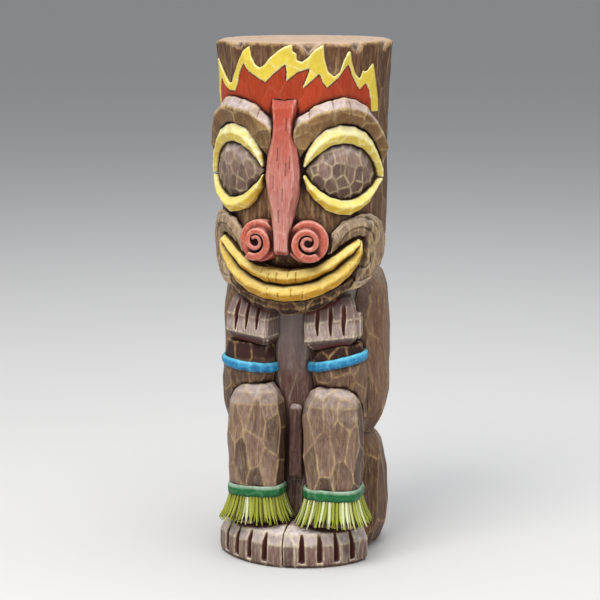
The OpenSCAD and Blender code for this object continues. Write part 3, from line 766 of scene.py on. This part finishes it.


# colours of the dark wash and painted shade in the hollows
DEEP = (0.030, 0.012, 0.010)
TAN = (0.52, 0.34, 0.15)
RED_DEEP = (0.05, 0.008, 0.006)
YELLOW_COAT = {"deep": (0.07, 0.03, 0.012), "streak": 0.2, "bump": 0.15, "tint_share": 0.12}
BAND_COAT = {"streak": 0.5, "bump": 0.2, "deep_share": 0.9, "tint_share": 0.12}
LOOKS = {
    "brown": paint(
        "brown_wash", body=(0.066, 0.024, 0.014), body_2=(0.150, 0.072, 0.034), deep=DEEP,
        ridge=TAN, upper=(0.42, 0.29, 0.22), up_share=0.9,
        top=((0.60, 0.45, 0.33), (0.42, 0.28, 0.18)), under=(0.042, 0.015, 0.010), brush=0.34,
    ),
    "belly": paint(
        "belly_wash", body=(0.086, 0.036, 0.022), body_2=(0.200, 0.116, 0.074), deep=DEEP,
        ridge=TAN, upper=(0.46, 0.34, 0.28), up_share=0.9, under=(0.045, 0.018, 0.013),
        brush=0.46,
    ),
    "chest": paint(
        "chest_wash", body=(0.075, 0.028, 0.023), body_2=(0.150, 0.080, 0.062), deep=DEEP,
        ridge=(0.36, 0.27, 0.20), upper=(0.50, 0.41, 0.39), up_share=0.9,
        under=(0.045, 0.016, 0.013), brush=0.45,
        zone={"start": 0.180, "end": 0.230, "share": 0.6, "tone": (0.40, 0.33, 0.31)},
    ),
    "wrist": paint(
        "wrist_wash", body=(0.100, 0.044, 0.028), body_2=(0.200, 0.120, 0.075), deep=DEEP,
        ridge=TAN, upper=(0.46, 0.34, 0.28), up_share=0.9, under=(0.050, 0.020, 0.016), brush=0.4,
        # painted shadow: the forearm's front just under the hand's ledge is painted dark
        zone={"start": 0.196, "end": 0.202, "share": 0.95, "tone": (0.042, 0.014, 0.012)},
    ),
    # painted shade: the jaw under the lips is painted far darker than the other browns, as its shade
    "chin": paint(
        "chin_painted_shade", body=(0.030, 0.012, 0.008), body_2=(0.055, 0.024, 0.012), deep=DEEP,
        ridge=(0.40, 0.25, 0.10), upper=(0.34, 0.24, 0.19), up_share=0.7,
        under=(0.024, 0.009, 0.007), brush=0.08,
    ),
    "cheek": paint(
        "cheek_wash", body=(0.130, 0.066, 0.036), body_2=(0.34, 0.230, 0.140), deep=DEEP,
        ridge=(0.64, 0.47, 0.24), upper=(0.62, 0.51, 0.44), up_share=1.0,
        under=(0.075, 0.032, 0.020), brush=0.68,
    ),
    "foot": paint(
        "foot_wash", body=(0.120, 0.052, 0.044), body_2=(0.27, 0.175, 0.145),
        deep=(0.110, 0.034, 0.030), ridge=(0.88, 0.76, 0.52), upper=(0.80, 0.70, 0.66),
        up_share=1.0, under=(0.055, 0.017, 0.014), brush=0.3, side=0.3,
    ),
    "leg": paint(
        "leg_wash", body=(0.115, 0.054, 0.036), body_2=(0.28, 0.182, 0.128), deep=DEEP,
        ridge=(0.64, 0.46, 0.23), upper=(0.60, 0.49, 0.44), up_share=1.0,
        under=(0.060, 0.022, 0.016), brush=0.46, side=0.7,
    ),
    "hand": paint(
        "hand_wash", body=(0.18, 0.098, 0.082), body_2=(0.56, 0.45, 0.40),
        deep=(0.150, 0.045, 0.040), ridge=(0.88, 0.76, 0.52), upper=(0.66, 0.57, 0.54),
        up_share=1.0, under=(0.060, 0.020, 0.016), brush=0.3, side=0.45,
        # painted shade: the hand above its bend is darker under the overhanging chin
        zone={"start": 0.2375, "end": 0.2425, "share": 0.72, "tone": (0.125, 0.052, 0.040)},
    ),
    "brow": paint(
        "brow_wash", body=(0.190, 0.095, 0.034), body_2=(0.34, 0.200, 0.078), deep=DEEP,
        ridge=(0.64, 0.47, 0.22), upper=(0.72, 0.62, 0.62), up_share=1.0,
        under=(0.175, 0.076, 0.024), brush=0.35,
    ),
    "eyeball": paint(
        "eyeball_wash", body=(0.15, 0.078, 0.056), body_2=(0.39, 0.27, 0.215), deep=DEEP,
        ridge=(0.76, 0.62, 0.38), upper=(0.66, 0.58, 0.58), up_share=1.0,
        under=(0.085, 0.036, 0.026), brush=0.3,
        # painted shade: the eyeball's lower part is darker, its top left brighter
        zone={"start": 0.402, "end": 0.372, "share": 0.6, "tone": (0.105, 0.050, 0.034)},
    ),
    "lid": paint(
        "lid_paint", body=(0.87, 0.64, 0.07), body_2=(0.94, 0.80, 0.20), ridge=(1.0, 0.96, 0.64),
        upper=(1.0, 0.97, 0.70), up_share=1.0, rough=0.4, ridge_share=0.8,
        under=(0.72, 0.47, 0.03), brush=0.75, **YELLOW_COAT,
    ),
    "loin": paint(
        "loin_wash", body=(0.055, 0.021, 0.018), body_2=(0.115, 0.058, 0.046), deep=DEEP,
        ridge=(0.30, 0.20, 0.14), upper=(0.56, 0.48, 0.46), up_share=1.0,
        under=(0.035, 0.014, 0.011), brush=0.15,
    ),
    "yellow": paint(
        "yellow_paint", body=(0.87, 0.62, 0.045), body_2=(0.93, 0.75, 0.11),
        ridge=(0.98, 0.93, 0.55), upper=(0.98, 0.90, 0.38), up_share=1.0, rough=0.4,
        ridge_share=0.7, under=(0.66, 0.40, 0.025), **YELLOW_COAT,
    ),
    "gold": paint(
        "gold_paint", body=(0.72, 0.37, 0.018), body_2=(0.80, 0.50, 0.045),
        ridge=(0.95, 0.80, 0.30), upper=(0.95, 0.79, 0.27), up_share=0.95, rough=0.38,
        ridge_share=0.7, under=(0.54, 0.25, 0.015), **YELLOW_COAT,
    ),
    "red": paint(
        "red_paint", body=(0.42, 0.036, 0.010), body_2=(0.55, 0.080, 0.026), deep=RED_DEEP,
        ridge=(0.64, 0.22, 0.13), upper=(0.60, 0.17, 0.09), up_share=0.5, ridge_share=0.3,
        bump=0.3, tint_share=0.14, under=(0.24, 0.02, 0.012),
    ),
    "nose": paint(
        "nose_paint", body=(0.50, 0.100, 0.066), body_2=(0.76, 0.38, 0.32),
        deep=(0.06, 0.010, 0.008), ridge=(0.80, 0.46, 0.37), upper=(0.78, 0.42, 0.34),
        up_share=0.6, rough=0.42, ridge_share=0.6, streak=0.07, bump=0.4, tint_share=0.12,
        under=(0.26, 0.03, 0.02),
        zone={"start": 0.375, "end": 0.440, "share": 0.95, "tone": (0.47, 0.060, 0.026)},
    ),
    "coil": paint(
        "coil_paint", body=(0.52, 0.065, 0.032), body_2=(0.70, 0.20, 0.13), deep=RED_DEEP,
        ridge=(0.84, 0.45, 0.36), upper=(0.80, 0.38, 0.30), up_share=0.9, rough=0.34,
        ridge_share=0.75, streak=0.6, bump=0.3, tint_share=0.12, under=(0.28, 0.028, 0.018),
    ),
    "blue": paint(
        "blue_paint", body=(0.015, 0.15, 0.38), body_2=(0.030, 0.27, 0.54),
        deep=(0.01, 0.02, 0.05), ridge=(0.14, 0.66, 0.90), upper=(0.22, 0.76, 0.95),
        up_share=0.85, rough=0.35, ridge_share=0.5, under=(0.008, 0.07, 0.21), brush=0.3,
        **BAND_COAT,
    ),
    "green": paint(
        "green_paint", body=(0.010, 0.115, 0.034), body_2=(0.020, 0.19, 0.060),
        deep=(0.01, 0.02, 0.014), ridge=(0.30, 0.50, 0.30), upper=(0.66, 0.78, 0.62),
        up_share=0.9, rough=0.38, ridge_share=0.3, under=(0.006, 0.06, 0.02), **BAND_COAT,
    ),
    "board": paint(
        "base_board", body=(0.05, 0.04, 0.035), body_2=(0.07, 0.055, 0.045), deep=DEEP,
        ridge=(0.1, 0.08, 0.07), upper=(0.1, 0.08, 0.07), up_share=0.3,
    ),
}


def grass_paint():
    """Dark ground under the strands, and each strand its own tone from green to pale lime."""
    made = paint(
        "lime_paint", body=(0.70, 0.94, 0.03), body_2=(0.92, 1.0, 0.14),
        deep=(0.10, 0.055, 0.025), ridge=(0.94, 0.97, 0.42), upper=(0.90, 0.97, 0.38),
        up_share=0.7, ridge_share=0.5, streak=0.2, bump=0.2, deep_share=0.65,
    )
    tree = made.node_tree
    shader = tree.nodes["Principled BSDF"]
    colour = shader.inputs["Base Color"].links[0].from_socket
    tint = mesh_marks(tree)[2]
    pale = ranged(tree, tint, 0.74, 0.84)
    bare = ranged(tree, tint, 0.12, 0.2, 1, 0)
    colour = mixed(tree, times(tree, pale, 0.75), colour, (0.93, 0.96, 0.62))
    colour = mixed(tree, bare, colour, (0.080, 0.040, 0.030))
    tree.links.new(colour, shader.inputs["Base Color"])
    return made


LOOKS["lime"] = grass_paint()


def mesh_of(p):
    """The piece's closed mesh in metres, with its marks as a colour attribute."""
    co, quads, ends = p["co"].astype(np.float32) * MM, p["quads"], p["ends"]
    co[:, 2] = np.maximum(co[:, 2], 0)
    loops = np.concatenate([quads.ravel(), *[np.array(e) for e in ends]]).astype(np.int32)
    sizes = np.array([4] * len(quads) + [len(e) for e in ends], np.int32)
    mesh = bpy.data.meshes.new(p["name"])
    mesh.vertices.add(len(co))
    mesh.vertices.foreach_set("co", co.ravel())
    mesh.loops.add(len(loops))
    mesh.loops.foreach_set("vertex_index", loops)
    mesh.polygons.add(len(sizes))
    mesh.polygons.foreach_set("loop_start", (np.cumsum(sizes) - sizes).astype(np.int32))
    mesh.polygons.foreach_set("use_smooth", np.ones(len(sizes), bool))
    mesh.update(calc_edges=True)
    mesh.validate()
    marks = mesh.color_attributes.new("marks", "FLOAT_COLOR", "POINT")
    values = np.stack([p["edge"], p["hollow"], p["tint"], np.ones(len(co))], 1).astype(np.float32)
    marks.data.foreach_set("color", values.ravel())
    return mesh


for p in pieces:
    mesh = mesh_of(p)
    mesh.materials.append(LOOKS[p["look"]])
    obj = bpy.data.objects.new(p["name"], mesh)
    bpy.context.scene.collection.objects.link(obj)
    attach(obj, "root")
    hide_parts(p["node"])


# ---------------------------------------------------------------- floor, light and camera
def plain(name, colour, rough):
    made = bpy.data.materials.new(name)
    made.use_nodes = True
    shader = made.node_tree.nodes["Principled BSDF"]
    shader.inputs["Base Color"].default_value = (*colour, 1)
    shader.inputs["Roughness"].default_value = rough
    return made


FLOOR_SIDE = 120  # metres, wide enough to show no edge
bpy.ops.mesh.primitive_plane_add(size=FLOOR_SIDE, location=(0, 0, 0))
floor = bpy.context.object
floor.name = "floor"
floor.data.materials.append(plain("floor", (0.72, 0.71, 0.69), 0.8))


AIM_LIGHTS = np.array([0, 0, 0.28])  # metres


def area_light(name, place, size, power, colour):
    """A square lamp that faces the middle of the figure."""
    data = bpy.data.lights.new(name, "AREA")
    data.size, data.energy, data.color = size, power, colour
    lamp = bpy.data.objects.new(name, data)
    bpy.context.scene.collection.objects.link(lamp)
    lamp.location = place
    aim = AIM_LIGHTS - np.array(place)
    tilt = math.atan2(math.hypot(aim[0], aim[1]), -aim[2])
    lamp.rotation_euler = (tilt, 0, math.atan2(-aim[0], aim[1]))


area_light("key", (-0.5, -1.2, 2.3), size=1.1, power=34, colour=(1, 0.98, 0.95))
area_light("sky", (0.2, -0.1, 2.6), size=2.2, power=44, colour=(0.95, 0.97, 1))
area_light("fill", (1.7, -1.5, 1.0), size=1.6, power=9, colour=(1, 0.99, 0.97))
world = bpy.data.worlds.new("soft")
world.use_nodes = True
sky = world.node_tree.nodes["Background"]
sky.inputs["Color"].default_value = (0.9, 0.93, 1.0, 1)
sky.inputs["Strength"].default_value = 0.35
bpy.context.scene.world = world
bpy.context.scene.view_settings.view_transform = "Standard"

CAMERA_TURN = math.radians(13.66)  # towards the figure's left
CAMERA_AWAY, CAMERA_UP = 1.831, 0.586  # metres
CAMERA_DOWN = math.atan2(CAMERA_UP - 0.249, CAMERA_AWAY)
VIEW_ANGLE = math.radians(18.26)
eye = bpy.data.cameras.new("camera")
camera = bpy.data.objects.new("camera", eye)
bpy.context.scene.collection.objects.link(camera)
camera.location = (
    CAMERA_AWAY * math.sin(CAMERA_TURN),
    AXIS_Y * MM - CAMERA_AWAY * math.cos(CAMERA_TURN),
    CAMERA_UP,
)
camera.rotation_euler = (math.pi / 2 - CAMERA_DOWN, 0, CAMERA_TURN)
eye.angle = VIEW_ANGLE
eye.shift_x = -0.0083
bpy.context.scene.camera = camera
